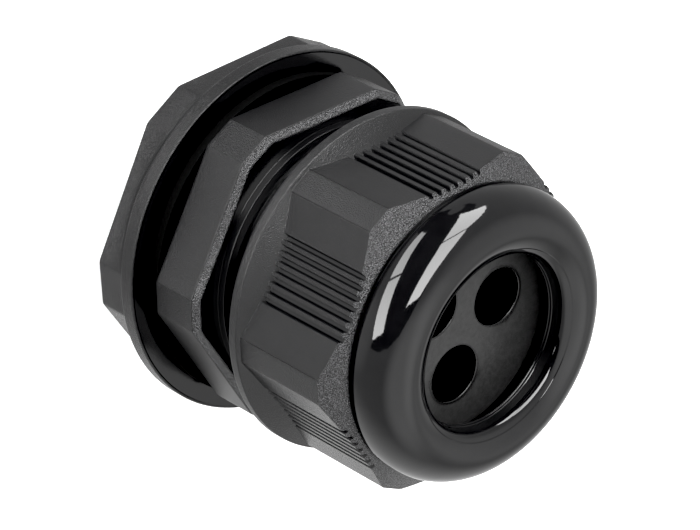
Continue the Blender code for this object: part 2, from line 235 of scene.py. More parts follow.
BODY_NYLON = moulded_nylon("nylon_pa66_spark_eroded", "#0a0a0b", "#131314", 0.34)
CAP_NYLON = moulded_nylon("nylon_pa66_polished_dome", "#0a0a0b", "#131314", 0.34, satin=0.06)
CAGE_NYLON = moulded_nylon("nylon_pa66_cage", "#0c0c0d", "#161617", 0.42)
# The locknut gets a darker copy of the same nylon: painted shade, for the less light that reaches it.
LOCKNUT_SHADED_NYLON = moulded_nylon("nylon_pa66_locknut_painted_shade", "#050506", "#0c0c0d", 0.27)
SEAL_RUBBER = nitrile_rubber("nitrile_rubber_moulded", "#0b0b0b", "#404040", 0.43)
# The gasket is darkened, near black with a very low specular level: painted shade for the gap it sits in.
GASKET_SHADED_RUBBER = nitrile_rubber("nitrile_rubber_gasket_painted_shade", "#050505", "#0b0b0b", 0.8, specular=0.06)
print("materials:", [material.name for material in bpy.data.materials])

# %% [markdown]
# ## Rings from outlines
# Five of the six pieces are rings. A lathe can't make them, because a hexagon and a thread change
# with the angle, and Booleans leave ragged edges. So each ring is a function of two numbers: the
# angle round the axis, and the place along a closed outline. The outline gives radius and height.

# %% A skin from arrays
JOIN_DISTANCE, SLIVER_LENGTH = 0.0008 * MM, 0.0004 * MM
SHARP_ANGLE = 32


def grid_faces(columns, rows, closed=False):
    """Four points per face: point (c, r) has number c * rows + r. Closed joins the last row to the first."""
    column, row = np.meshgrid(
        np.arange(columns - 1) * rows, np.arange(rows if closed else rows - 1), indexing="ij"
    )
    above = (row + 1) % rows
    faces = [column + row, column + rows + row, column + rows + above, column + above]
    return np.stack(faces, axis=-1).reshape(-1, 4)


def piece_from(name, points, faces, grain, material):
    """Makes the mesh, joins points that coincide, turns the faces outwards, and splits sharp edges."""
    mesh = bpy.data.meshes.new(name)
    mesh.from_pydata((points * MM).tolist(), [], faces.tolist())
    mesh.attributes.new("grain", "FLOAT", "POINT").data.foreach_set("value", grain.astype(np.float32))
    skin = bmesh.new()
    skin.from_mesh(mesh)
    bmesh.ops.remove_doubles(skin, verts=skin.verts, dist=JOIN_DISTANCE)
    bmesh.ops.dissolve_degenerate(skin, edges=skin.edges, dist=SLIVER_LENGTH)
    bmesh.ops.recalc_face_normals(skin, faces=skin.faces)
    skin.to_mesh(mesh)
    loose = sum(1 for edge in skin.edges if not edge.is_manifold)
    skin.free()
    mesh.shade_smooth()
    mesh.set_sharp_from_angle(angle=math.radians(SHARP_ANGLE))
    mesh.materials.append(material)
    piece = bpy.data.objects.new(name, mesh)
    bpy.context.scene.collection.objects.link(piece)
    triangles = sum(len(face.vertices) - 2 for face in mesh.polygons)
    print(f"{name}: {triangles} triangles, {loose} open edges")
    return piece


def ring(name, angles, outline, material):
    """Point (angle, row) = (r cos angle, r sin angle, z), with r, z and grain from the outline.

    A last column repeats the first after a full turn, so that a helix can close on its next turn.
    """
    turn = np.append(angles, angles[0] + 360.0)
    radius, height, grain = outline(turn)
    direction = np.radians(turn)[:, None]
    points = np.stack([radius * np.cos(direction), radius * np.sin(direction), height], axis=-1)
    faces = grid_faces(len(turn), radius.shape[1], closed=True)
    return piece_from(name, points.reshape(-1, 3), faces, grain.ravel(), material)


# %% [markdown]
# A moulded edge is never sharp. Each corner of an outline is replaced by a short curve, a quadratic
# Bezier whose handle is the corner itself, with one more point just outside each end, so that
# the shading of the flat beside it stays flat. Neither takes up more than a part of a short side.

# %% Rounded corners
SUPPORT = 0.06  # from the end of a curve to the point outside it
CURVE_SHARE, SUPPORT_SHARE = 0.4, 0.45


def rounded(turn, corners, steps=4):
    """Corners are (radius, height, fillet, grain). Points are (1-u)^2 A + 2u(1-u) P + u^2 B."""
    spread = [[np.broadcast_to(value, turn.shape) for value in corner] for corner in corners]
    table = np.stack([np.stack(corner, axis=-1) for corner in spread], axis=1).astype(float)
    point, fillet, grain = table[..., :2], table[..., 2:3], table[..., 3]
    before = np.concatenate([point[:, :1], point[:, :-1]], axis=1) - point
    after = np.concatenate([point[:, 1:], point[:, -1:]], axis=1) - point
    length_before = np.linalg.norm(before, axis=-1, keepdims=True)
    length_after = np.linalg.norm(after, axis=-1, keepdims=True)
    cut = np.minimum(fillet, CURVE_SHARE * np.minimum(length_before, length_after))
    before /= np.maximum(length_before, 1e-9)
    after /= np.maximum(length_after, 1e-9)
    u = np.linspace(0, 1, steps)[:, None]
    start = (point + before * cut)[:, :, None]
    end = (point + after * cut)[:, :, None]
    arc = (1 - u) ** 2 * start + 2 * u * (1 - u) * point[:, :, None] + u**2 * end
    first = point + before * np.minimum(cut + SUPPORT, SUPPORT_SHARE * length_before)
    last = point + after * np.minimum(cut + SUPPORT, SUPPORT_SHARE * length_after)
    rows = np.concatenate([first[:, :, None], arc, last[:, :, None]], axis=2)
    rows = rows.reshape(len(turn), -1, 2)
    return rows[..., 0], rows[..., 1], np.repeat(grain, steps + 2, axis=1)


def chained(turn, *parts):
    """Puts the parts of an outline one after the other."""
    whole = []
    for kind in range(3):
        rows = [np.broadcast_to(part[kind], (len(turn), np.shape(part[0])[-1])) for part in parts]
        whole.append(np.concatenate(rows, axis=1))
    return whole


# %% [markdown]
# ## Hexagons with cut corners
# A spanner needs six flats, and the moulder cuts the six corners with a second, turned hexagon. In
# plan each of the twelve sides is r = a / cos(angle to its normal). The smallest one counts, and a
# high power mean in place of the minimum gives the edges between them a small radius.

# %% Hexagon in plan
EDGE_POWER = 320.0


def hexagon_radius(turn, apothem, corner, clock=0.0):
    """Power mean of the twelve sides' radii: odd sides are the flats, and even ones cut corners."""
    side = np.arange(12)
    normal = np.radians(side * 30.0 + clock)
    reach = np.where(side % 2 == 1, apothem, corner)
    nearness = np.maximum(np.cos(np.radians(turn)[:, None] - normal), 1e-6) / reach
    nearest = nearness.max(axis=1)
    total = ((nearness / nearest[:, None]) ** EDGE_POWER).sum(axis=1)
    return 1 / (nearest * total ** (1 / EDGE_POWER))


def half_corner(apothem, corner):
    """Half of the angle that a corner cut takes up, in degrees."""
    half_width = (apothem / math.cos(math.radians(30)) - corner) * math.tan(math.radians(60))
    return math.degrees(math.atan2(half_width, corner))


def on_corner(turn, apothem, corner, clock=0.0):
    """1 on a corner cut and 0 on a flat."""
    away = np.abs((turn - clock + 30) % 60 - 30)
    return (away < half_corner(apothem, corner)).astype(float)


def columns(edges=(), step=3.0, near=(0.0, 0.12, 0.28, 0.55, 1.1)):
    """Angles in degrees: even steps, and closer ones on both sides of each edge."""
    offsets = np.concatenate([-np.array(near[:0:-1]), near])
    fine = (np.asarray(edges, float).reshape(-1, 1) + offsets).ravel() % 360
    even = np.arange(0, 360, step)
    if fine.size:
        gap = np.abs((even[:, None] - fine + 180) % 360 - 180).min(axis=1)
        even = even[gap > step / 3]
    return np.unique(np.round(np.concatenate([fine, even]), 3))


def hexagon_edges(apothem, corner, clock=0.0):
    """Angles of the twelve edges between flats and corner cuts."""
    half = half_corner(apothem, corner)
    return (np.arange(6)[:, None] * 60 + np.array([-half, half]) + clock).ravel()


# %% [markdown]
# ## Threads
# A thread is a wave in the outline that climbs by one pitch in each turn. The rows of column 360
# lie on those of column 0, one turn on, so the skin closes by itself. Towards both ends the wave
# fades out over a pitch, and rows past an end fall together on it.

# %% Thread rows
THREAD_GAP = 0.2
THREAD_ROUNDING, THREAD_GRAIN = 0.06, 0.12


def thread(turn, core, depth, pitch, flank, low, high, female=False):
    """Radius = core + depth * wave(z - pitch * angle / 360), with flanks and small roundings."""
    width = depth * math.tan(math.radians(flank))
    soft = THREAD_ROUNDING
    phase = np.array([0, soft, width - soft, width, width + soft])
    phase = np.concatenate([phase, pitch - phase[:0:-1]])
    slope = soft / width
    level = np.array([0.4 * slope, slope, 1 - slope, 1 - 0.35 * slope, 1.0])
    level = np.concatenate([level, level[:0:-1]])
    turns = np.arange(math.floor(low / pitch) - 2, math.ceil(high / pitch) + 2)
    height = pitch * (turns[None, :, None] + turn[:, None, None] / 360) + phase
    height = height.reshape(len(turn), -1)
    level = np.tile(level, len(turns))
    fade = np.clip(np.minimum(height - low, high - height) / pitch, 0, 1)
    if female:
        radius = core + depth + THREAD_GAP - depth * (1 - level) * fade
    else:
        radius = core + depth * level * fade
    height = np.clip(height, low, high)
    grain = np.full(radius.shape, THREAD_GRAIN)
    if female:
        return radius[:, ::-1], height[:, ::-1], grain
    return radius, height, grain


# %% [markdown]
# ## The body
# The body is the piece that the others hang on: a short PG thread for the locknut, a hexagon, a
# round collar, and a finer thread for the cap nut. Its hexagon is given a sandy chamfer at the front,
# made bright by painted glints on its grain, and smoother flats.

# %% Body
# Grain also sets the painted glints in the nylon's colour: faint on every face, strongest on SANDY ones.
GLOSSY, NECK, MILLED, ERODED, SANDY = 0.05, 0.2, 0.3, 0.45, 1.0  # grain numbers of the finishes
SEAT_GAP = 0.25
SEAT_Z = GASKET_TOP + SEAT_GAP
BODY_APOTHEM, BODY_CORNER = 16.5, 18.0
HEX_TOP = SEAT_Z + 6.1
BODY_CHAMFER, CHAMFER_ROW = 0.63, 0.12
COLLAR_RADIUS, COLLAR_TOP = 15.0, HEX_TOP + 0.85
ENTRY_BORE, ENTRY_CORE, ENTRY_DEPTH, ENTRY_PITCH, ENTRY_FLANK = 11.2, 13.39, 0.76, 1.5875, 40
ENTRY_START, ENTRY_RELIEF = 0.2, 0.8
CAP_CORE, CAP_DEPTH, CAP_PITCH, CAP_FLANK = 13.9, 0.8, 1.5, 35
CAP_THREAD_FOOT = COLLAR_TOP + 0.35
MOUTH_BORE, MOUTH_FLOOR = 12.6, SEAL_BOTTOM - 3.3


def body_outline(turn):
    """Up the outside from the entry end, and down the inside from the mouth."""
    hexagon = hexagon_radius(turn, BODY_APOTHEM, BODY_CORNER)
    face = hexagon - BODY_CHAMFER
    flat = 0.32 + 0.3 * on_corner(turn, BODY_APOTHEM, BODY_CORNER)
    chamfer_foot = HEX_TOP - BODY_CHAMFER
    entry = thread(
        turn, ENTRY_CORE, ENTRY_DEPTH, ENTRY_PITCH, ENTRY_FLANK, ENTRY_START, SEAT_Z - ENTRY_RELIEF
    )
    middle = rounded(
        turn,
        [
            (ENTRY_CORE, SEAT_Z - 0.7, 0, NECK),
            (ENTRY_CORE, SEAT_Z, 0.1, MILLED),
            (hexagon, SEAT_Z, 0.3, flat),
            (hexagon, chamfer_foot, 0.05, flat),
            (hexagon - CHAMFER_ROW, chamfer_foot + CHAMFER_ROW, 0, SANDY),
            (face, HEX_TOP, 0.08, SANDY),
            (face - 0.3, HEX_TOP, 0, GLOSSY),
            (COLLAR_RADIUS, HEX_TOP, 0.04, GLOSSY),
            (COLLAR_RADIUS, COLLAR_TOP, 0.04, GLOSSY),
            (CAP_CORE, CAP_THREAD_FOOT, 0, GLOSSY),
        ],
    )
    cap = thread(turn, CAP_CORE, CAP_DEPTH, CAP_PITCH, CAP_FLANK, CAP_THREAD_FOOT, MOUTH_Z - 0.2)
    inside = rounded(
        turn,
        [
            (CAP_CORE, MOUTH_Z - 0.15, 0, NECK),
            (CAP_CORE - 0.1, MOUTH_Z, 0.1, MILLED),
            (MOUTH_BORE, MOUTH_Z, 0.2, MILLED),
            (MOUTH_BORE, MOUTH_FLOOR, 0.3, MILLED),
            (ENTRY_BORE, MOUTH_FLOOR - 1.4, 0.3, MILLED),
            (ENTRY_BORE, 0.0, 0.3, MILLED),
            (ENTRY_CORE - 0.2, 0.0, 0.1, MILLED),
            (ENTRY_CORE, 0.15, 0, MILLED),
        ],
        steps=3,
    )
    return chained(turn, entry, middle, cap, inside)


body = ring("body_fine", columns(hexagon_edges(BODY_APOTHEM, BODY_CORNER)), body_outline, BODY_NYLON)
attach(body, "gland_body")
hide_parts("body")

# %% [markdown]
# ## The gasket
# A flat rubber ring seals the wall. It is made as one punched from sheet, with square edges and the
# very small roundness that a punch leaves.

# %% Gasket
GASKET_BORE, GASKET_RIM = 14.45, 17.6


def gasket_outline(turn):
    """A rectangle with small round corners."""
    middle = (GASKET_BOTTOM + GASKET_TOP) / 2
    return rounded(
        turn,
        [
            (GASKET_BORE, middle, 0, 1),
            (GASKET_BORE, GASKET_BOTTOM, 0.08, 1),
            (GASKET_RIM, GASKET_BOTTOM, 0.12, 1),
            (GASKET_RIM, GASKET_TOP, 0.08, 1),
            (GASKET_BORE, GASKET_TOP, 0.08, 1),
        ],
    )


# Its rubber is darkened as painted shade for the gap.
gasket = ring("gasket_fine", columns(step=2.0), gasket_outline, GASKET_SHADED_RUBBER)
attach(gasket, "gasket_ring")
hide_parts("gasket")

# %% [markdown]
# ## The locknut
# The locknut is a hexagon with a round flange, which presses on the wall. The flange's band runs
# out on the flats in a cone: a cone and a flat meet in a curve, and the height of that curve is
# worked out for every column, so no cutting is needed.

# %% Locknut
NUT_APOTHEM, NUT_CORNER, NUT_CLOCK = 18.1, 19.45, 1.8
NUT_FLANGE, NUT_BAND, NUT_CONE, NUT_EDGE = 19.84, 1.65, 41, 0.3
NUT_THREAD_INSET = 0.35
NUT_FACE_GRAIN, SEAT_GRAIN = 0.6, 0.04


def locknut_outline(turn):
    """Cone foot = band foot - (flange radius - wall) / tan(cone angle)."""
    wall = hexagon_radius(turn, NUT_APOTHEM, NUT_CORNER, NUT_CLOCK)
    rough = 0.28 + 0.25 * on_corner(turn, NUT_APOTHEM, NUT_CORNER, NUT_CLOCK)
    band_foot = LOCKNUT_TOP - NUT_BAND
    cone_foot = band_foot - (NUT_FLANGE - wall) / math.tan(math.radians(NUT_CONE))
    mouth = ENTRY_CORE + ENTRY_DEPTH + THREAD_GAP
    outside = rounded(
        turn,
        [
            (mouth, LOCKNUT_BOTTOM + NUT_EDGE, 0, NECK),
            (mouth + NUT_EDGE, LOCKNUT_BOTTOM, 0.1, MILLED),
            (wall, LOCKNUT_BOTTOM, 0.35, NUT_FACE_GRAIN),
            (wall, cone_foot, 0.1, rough),
            (NUT_FLANGE, band_foot, 0.1, ERODED),
            (NUT_FLANGE, LOCKNUT_TOP, 0.22, ERODED),
            (NUT_FLANGE - 0.4, LOCKNUT_TOP, 0, SEAT_GRAIN),
            (mouth + NUT_EDGE, LOCKNUT_TOP, 0.1, SEAT_GRAIN),
            (mouth, LOCKNUT_TOP - NUT_EDGE, 0, NECK),
        ],
    )
    low, high = LOCKNUT_BOTTOM + NUT_THREAD_INSET, LOCKNUT_TOP - NUT_THREAD_INSET
    inside = thread(turn, ENTRY_CORE, ENTRY_DEPTH, ENTRY_PITCH, ENTRY_FLANK, low, high, female=True)
    return chained(turn, outside, inside)


nut_columns = columns(hexagon_edges(NUT_APOTHEM, NUT_CORNER, NUT_CLOCK))
# Its nylon is painted darker, as painted shade.
locknut = ring("locknut_fine", nut_columns, locknut_outline, LOCKNUT_SHADED_NYLON)
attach(locknut, "nut")
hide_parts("locknut")

# %% [markdown]
# ## The cap nut
# The cap nut is what a hand turns first. Each of its six flats has seven grooves for grip. They
# are part of the same formula as the flats: the wall is lower by a groove's depth between its two
# edges. The cones at both ends of the flats are met further out there, so the grooves notch them.

# %% Grooves on the flats
CAP_APOTHEM, CAP_CORNER, CAP_CLOCK = 16.33, 18.04, 2.1
GROOVES, GROOVE_PITCH, GROOVE_WIDTH, GROOVE_DEPTH, GROOVE_EASE = 7, 1.1, 0.5, 0.4, 0.07
GROOVE_SHIFT = 0.12  # of the middle groove, off the middle of the flat
GROOVE_MIDDLES = (np.arange(GROOVES) - (GROOVES - 1) / 2) * GROOVE_PITCH - GROOVE_SHIFT


def groove_depth(turn):
    """Depth * smoothstep of how far a point lies inside the nearest groove's edges."""
    away = np.radians((turn - CAP_CLOCK) % 60 - 30)
    across = CAP_APOTHEM * np.tan(away)
    inside = GROOVE_WIDTH / 2 - np.abs(across[:, None] - GROOVE_MIDDLES).min(axis=1)
    share = np.clip(0.5 + inside / (2 * GROOVE_EASE), 0, 1)
    return GROOVE_DEPTH * share**2 * (3 - 2 * share) / np.cos(away)


def groove_columns():
    """Angles at both edges of every groove, on both sides of the edge."""
    ease = GROOVE_EASE * np.array([-1.2, -0.45, 0.45, 1.2])
    edges = GROOVE_MIDDLES[:, None] + np.array([-1, 1]) * GROOVE_WIDTH / 2
    across = (edges[..., None] + ease).ravel()
    away = np.degrees(np.arctan(across / CAP_APOTHEM))
    return (np.arange(6)[:, None] * 60 + 30 + CAP_CLOCK + away).ravel() % 360


def cap_columns():
    """The grooves' angles, and the hexagon's where no groove is near."""
    grooves = groove_columns()
    others = columns(hexagon_edges(CAP_APOTHEM, CAP_CORNER, CAP_CLOCK), near=(0.0, 0.15, 0.4, 0.9))
    gap = np.abs((others[:, None] - grooves + 180) % 360 - 180).min(axis=1)
    return np.unique(np.round(np.concatenate([grooves, others[gap > 0.35]]), 3))


# %% [markdown]
# The dome is the bright part. It is a quarter of an ellipse outside, then a soft slope down to the
# lip, with a very faint ring where two mould inserts meet. Below the lip the bore falls straight
# down over two tiny ledges, and a cone opens out to the cage: that cone is what squeezes the seal.

# %% Dome and lip
CAP_RIM, CAP_BAND, RIM_CONE, TOP_CONE = 18.44, 1.15, 55.5, 56.6
HEXAGON_TOP = CAP_BOTTOM + 14.4
CAP_EDGE, CONE_ROW, CONE_DROP = 0.35, 0.06, 0.05
DOME_BASE, DOME_RADIUS, DOME_CREST, DOME_SHOULDER = 15.6, 15.7, 11.9, 1.0
DOME_GROOVE, DOME_GROOVE_HEIGHT = 0.6, 0.4
LIP_RADIUS, LIP_DROP, LIP_LENGTH = 9.4, 1.2, 1.95
LIP_Z = CAP_TOP - LIP_DROP
LIP_FLOOR = LIP_Z - LIP_LENGTH
LIP_WIDTH, LIP_RISE, LIP_FALL = 0.5, 0.36, 0.7
LEDGE = 0.06
SPLIT_RADIUS, SPLIT_DEPTH, SPLIT_MARGIN = 10.28, 0.03, 0.12
CONE_TOP_RADIUS, THROAT_RADIUS, INNER_CONE = 9.75, 13.0, 43
FLANGE_TOP = FINGER_TOP - 3.8
SHOULDER_Z = FLANGE_TOP + SEAT_GAP


def dome_rows():
    """Radius = crest + width cos t, height = shoulder + rise sin t, then a power curve to the lip."""
    t = np.linspace(0, math.pi / 2, 26)
    shoulder = HEXAGON_TOP + DOME_SHOULDER
    outer = DOME_CREST + (DOME_RADIUS - DOME_CREST) * np.cos(t)
    rise = shoulder + (CAP_TOP - shoulder) * np.sin(t)
    inner = np.concatenate(
        [
            np.linspace(DOME_CREST - 0.2, SPLIT_RADIUS + SPLIT_MARGIN, 7),
            SPLIT_RADIUS + np.array([0.04, 0.015, -0.015, -0.04]),
            np.linspace(SPLIT_RADIUS - SPLIT_MARGIN, LIP_RADIUS + 0.58, 4),
        ]
    )
    fall = CAP_TOP - LIP_DROP * ((DOME_CREST - inner) / (DOME_CREST - LIP_RADIUS)) ** 1.6
    fall -= SPLIT_DEPTH * (np.abs(inner - SPLIT_RADIUS) < 0.02)
    return np.concatenate([outer, inner]), np.concatenate([rise, fall]), np.zeros(len(t) + len(inner))


def lip_rows():
    """Radius = lip + width (1-u)^2, height = lip + rise (1-u)^2 - fall u^2, round the lip's edge."""
    u = np.linspace(0, 1, 12)
    height = LIP_Z + LIP_RISE * (1 - u) ** 2 - LIP_FALL * u**2
    return LIP_RADIUS + LIP_WIDTH * (1 - u) ** 2, height, np.zeros(len(u))


# %% [markdown]
# The grooves are given less grain than the flats, so that their floors are smoother. At both ends
# of the flats the grain is fixed in one more row just off the wall, so that the stripes of the
# grooves aren't carried on over the cones.

# %% Cap nut
def cap_nut_outline(turn):
    """Rim, grooved wall, top cone, dome, lip, inner cone, shoulder and thread."""
    cut = groove_depth(turn)
    wall = hexagon_radius(turn, CAP_APOTHEM, CAP_CORNER, CAP_CLOCK) - cut
    flat = 0.22 + 0.35 * on_corner(turn, CAP_APOTHEM, CAP_CORNER, CAP_CLOCK)
    flat = flat * (1 - 0.8 * cut / GROOVE_DEPTH)
    rim_slope, top_slope = math.tan(math.radians(RIM_CONE)), math.tan(math.radians(TOP_CONE))
    band_top = CAP_BOTTOM + CAP_BAND
    cone_top = band_top + (CAP_RIM - wall) / rim_slope
    flat_top = HEXAGON_TOP - CONE_DROP - (wall - DOME_BASE) / top_slope
    mouth = CAP_CORE + CAP_DEPTH + THREAD_GAP
    neck = DOME_BASE - DOME_GROOVE
    outside = rounded(
        turn,
        [
            (mouth, CAP_BOTTOM + CAP_EDGE, 0, NECK),
            (mouth + CAP_EDGE, CAP_BOTTOM, 0.1, MILLED),
            (CAP_RIM, CAP_BOTTOM, 0.3, ERODED),
            (CAP_RIM, band_top, 0.08, ERODED),
            (wall + CONE_ROW, cone_top - CONE_ROW / rim_slope, 0, MILLED),
            (wall, cone_top, 0.012, flat),
            (wall, flat_top, 0.012, flat),
            (wall - CONE_ROW, flat_top + CONE_ROW / top_slope, 0, SANDY),
            (DOME_BASE, HEXAGON_TOP - CONE_DROP, 0.06, SANDY),
            (neck, HEXAGON_TOP, 0, GLOSSY),
            (neck, HEXAGON_TOP + DOME_GROOVE_HEIGHT, 0, GLOSSY),
        ],
        steps=3,
    )
    cone_height = (THROAT_RADIUS - CONE_TOP_RADIUS) / math.tan(math.radians(INNER_CONE))
    inside = rounded(
        turn,
        [
            (LIP_RADIUS, LIP_FLOOR + 0.55, 0.02, 0),
            (LIP_RADIUS - LEDGE, LIP_FLOOR + 0.49, 0.02, 0),
            (LIP_RADIUS - LEDGE, LIP_FLOOR + 0.25, 0.02, 0),
            (LIP_RADIUS - 2 * LEDGE, LIP_FLOOR + 0.19, 0.02, 0),
            (LIP_RADIUS - 2 * LEDGE, LIP_FLOOR, 0.1, 0),
            (CONE_TOP_RADIUS, LIP_FLOOR - 0.2, 0.06, GLOSSY),
            (THROAT_RADIUS, LIP_FLOOR - 0.1 - cone_height, 0, MILLED),
            (THROAT_RADIUS, SHOULDER_Z, 0, MILLED),
            (mouth, SHOULDER_Z, 0, MILLED),
        ],
        steps=3,
    )
    low, high = CAP_BOTTOM + 0.4, SHOULDER_Z - 2.0
    female = thread(turn, CAP_CORE, CAP_DEPTH, CAP_PITCH, CAP_FLANK, low, high, female=True)
    return chained(turn, outside, dome_rows(), lip_rows(), inside, female)


cap_nut = ring("cap_nut_fine", cap_columns(), cap_nut_outline, CAP_NYLON)
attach(cap_nut, "cap")
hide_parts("cap_nut")

# %% [markdown]
# ## The clamping cage
# The cage sits in the body's mouth. Its twelve fingers bend in when the cap nut's cone comes down
# on them. Its outline is the same at every finger and lower at every slot, so a slot's side is two
# columns a hair apart.

# %% Clamping cage
CAGE_FINGERS, CAGE_SLOT, CAGE_BORE = 12, 1.2, 10.9
FLANGE_BOTTOM, SLOT_FLOOR = FLANGE_TOP - 1.3, FLANGE_TOP + 0.5
SKIRT_RADIUS, FLANGE_RADIUS, FINGER_RADIUS, TIP_BEVEL = 12.3, 13.0, 12.4, 0.8
HALF_SLOT = math.degrees(CAGE_SLOT / 2 / CAGE_BORE)  # as an angle


def cage_columns():
    """A pair of angles at each side of every slot, its middle, and even steps over the finger."""
    sides = HALF_SLOT * np.array([-0.99, 0.99, -1.01, 1.01])
    offsets = np.concatenate([sides, [0.0], np.arange(HALF_SLOT + 2, 26, 2.5)])
    return np.unique(np.round((np.arange(CAGE_FINGERS)[:, None] * 30 + offsets).ravel() % 360, 3))


def cage_outline(turn):
    """The finger's top where the angle is on a finger, and the slot's floor where it isn't."""
    away = np.abs((turn + 15) % 30 - 15)
    finger = away > HALF_SLOT
    top = np.where(finger, FINGER_TOP, SLOT_FLOOR)
    bevel_foot = np.where(finger, FINGER_TOP - TIP_BEVEL, SLOT_FLOOR - 0.02)
    tip = np.where(finger, FINGER_RADIUS - TIP_BEVEL, FINGER_RADIUS - 0.05)
    corners = [
        (CAGE_BORE, 28.0, 0),
        (CAGE_BORE, SKIRT_BOTTOM, 0.15),
        (SKIRT_RADIUS, SKIRT_BOTTOM, 0.15),
        (SKIRT_RADIUS, FLANGE_BOTTOM, 0.1),
        (FLANGE_RADIUS, FLANGE_BOTTOM, 0.12),
        (FLANGE_RADIUS, FLANGE_TOP, 0.12),
        (FINGER_RADIUS, FLANGE_TOP, 0.1),
        (FINGER_RADIUS, bevel_foot, 0.15),
        (tip, top, 0.15),
        (CAGE_BORE, top, 0.12),
    ]
    return rounded(turn, [(*corner, MILLED) for corner in corners], steps=3)


cage = ring("clamping_cage_fine", cage_columns(), cage_outline, CAGE_NYLON)
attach(cage, "cage_and_seal")
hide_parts("clamping_cage")

# %% [markdown]
# ## The seal
# The seal is a rubber plug with three holes. It is made of three equal sectors. In each, straight
# lines run from the hole's edge to the sector's border, so both ends of the plug are surfaces of
# two parameters: the place round the hole, and the share of the way to the border.

# %% Seal
SEAL_RADIUS, HEAD_RADIUS, HEAD_Z, HEAD_EDGE = 10.6, 11.7, SEAL_TOP - 1.0, 0.3
HOLE_RADIUS, HOLE_EDGE, HOLE_PITCH, SEAL_CLOCK = 3.0, 0.14, 5.07, 77.7


def sector_border(rim):
    """Directions from the hole's centre, and the border point that each one meets first."""
    corner = math.atan2(rim * math.sin(math.pi / 3), rim * math.cos(math.pi / 3) - HOLE_PITCH)
    arc = np.linspace(0, corner, 17)
    side = np.linspace(corner, math.pi, 33)[1:]
    half = np.concatenate([arc, side])
    way = np.concatenate([-half[:0:-1], half[:-1]])
    to_arc = -HOLE_PITCH * np.cos(way) + np.sqrt(rim**2 - (HOLE_PITCH * np.sin(way)) ** 2)
    steep = np.sin(np.abs(way) - math.pi / 3)
    side_distance = HOLE_PITCH * math.sin(math.pi / 3)
    to_side = np.where(steep > 1e-6, side_distance / np.maximum(steep, 1e-6), 1e9)
    reach = np.minimum(to_arc, to_side)
    return way, HOLE_PITCH + reach * np.cos(way), reach * np.sin(way), to_arc <= to_side + 1e-9


def seal_ends(way, border):
    """Point = (1 - s) * edge of the hole + s * border, for both ends, and the hole's wall between."""
    quarter = np.linspace(0, math.pi / 2, 6)
    soft, ease = HOLE_EDGE * (1 - np.cos(quarter)), HOLE_EDGE * (1 - np.sin(quarter))
    share = np.linspace(0, 1, 9)[1:]
    tail = border * SEAL_RADIUS / (HEAD_RADIUS - HEAD_EDGE)

    def hole(extra):
        radius = HOLE_RADIUS + extra
        return np.stack([HOLE_PITCH + radius * np.cos(way), radius * np.sin(way)], axis=-1)

    wall = [(hole(extra), z) for extra, z in zip(soft[::-1], SEAL_BOTTOM + ease[::-1])]
    wall += [(hole(extra), z) for extra, z in zip(soft, SEAL_TOP - ease)]
    top = [((1 - s) * hole(soft[-1]) + s * border, SEAL_TOP) for s in share]
    bottom = [((1 - s) * hole(soft[-1]) + s * tail, SEAL_BOTTOM) for s in share]
    rows = bottom[::-1] + wall + top
    # Both ends get talc; the hole's wall gets 0, the painted hole shade.
    talc_and_hole_shade = np.repeat([1.0, 0.0, 1.0], [len(bottom), len(wall), len(top)])
    points = np.stack([np.column_stack([xy, np.full(len(xy), z)]) for xy, z in rows], axis=1)
    return points, np.tile(talc_and_hole_shade, len(way))


def seal_rim(angles):
    """The plug's outer wall: point (angle, row) = (r cos angle, r sin angle, z) of a profile."""
    profile = np.array(
        [
            (SEAL_RADIUS, SEAL_BOTTOM),
            (SEAL_RADIUS, SEAL_BOTTOM + 0.05),
            (SEAL_RADIUS, HEAD_Z),
            (HEAD_RADIUS, HEAD_Z),
            (HEAD_RADIUS, SEAL_TOP - HEAD_EDGE),
            (HEAD_RADIUS - 0.09, SEAL_TOP - 0.09),
            (HEAD_RADIUS - HEAD_EDGE, SEAL_TOP),
        ]
    )
    radius, height = profile.T
    across = [radius * np.cos(angles)[:, None], radius * np.sin(angles)[:, None]]
    return np.stack([*across, np.broadcast_to(height, (len(angles), len(height)))], axis=-1)


def seal_sector(number):
    """Points, faces and dusting numbers of one of the three sectors, turned to its place: 0 marks the
    painted hole shade.
    """
    way, border_x, border_y, on_arc = sector_border(HEAD_RADIUS - HEAD_EDGE)
    angles = np.sort(np.arctan2(border_y, border_x)[on_arc])
    way, border_x, border_y = (np.append(values, values[0]) for values in (way, border_x, border_y))
    ends, talc_and_hole_shade = seal_ends(way, np.stack([border_x, border_y], axis=-1))
    rim = seal_rim(angles)
    points = np.concatenate([ends.reshape(-1, 3), rim.reshape(-1, 3)])
    faces = [grid_faces(*ends.shape[:2]), grid_faces(*rim.shape[:2]) + len(talc_and_hole_shade)]
    angle = math.radians(SEAL_CLOCK + 120 * number)
    cos, sin = math.cos(angle), math.sin(angle)
    turned = points @ np.array([[cos, sin, 0], [-sin, cos, 0], [0, 0, 1]])
    return turned, np.concatenate(faces), np.concatenate([talc_and_hole_shade, np.ones(rim[..., 0].size)])


sectors = [seal_sector(number) for number in range(3)]
starts = np.arange(3) * len(sectors[0][0])
seal_points = np.concatenate([points for points, _, _ in sectors])
seal_faces = np.concatenate([faces + start for (_, faces, _), start in zip(sectors, starts)])
seal_talc_and_hole_shade = np.concatenate([talc_and_hole_shade for _, _, talc_and_hole_shade in sectors])
seal = piece_from("seal_fine", seal_points, seal_faces, seal_talc_and_hole_shade, SEAL_RUBBER)
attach(seal, "cage_and_seal")
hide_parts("seal")

# %% [markdown]
# ## The camera
# The camera looks down on the gland from its front, well back and with a long lens, as for a
# catalogue. It is rolled, because the gland is seen lying back while its axis stands upright here.

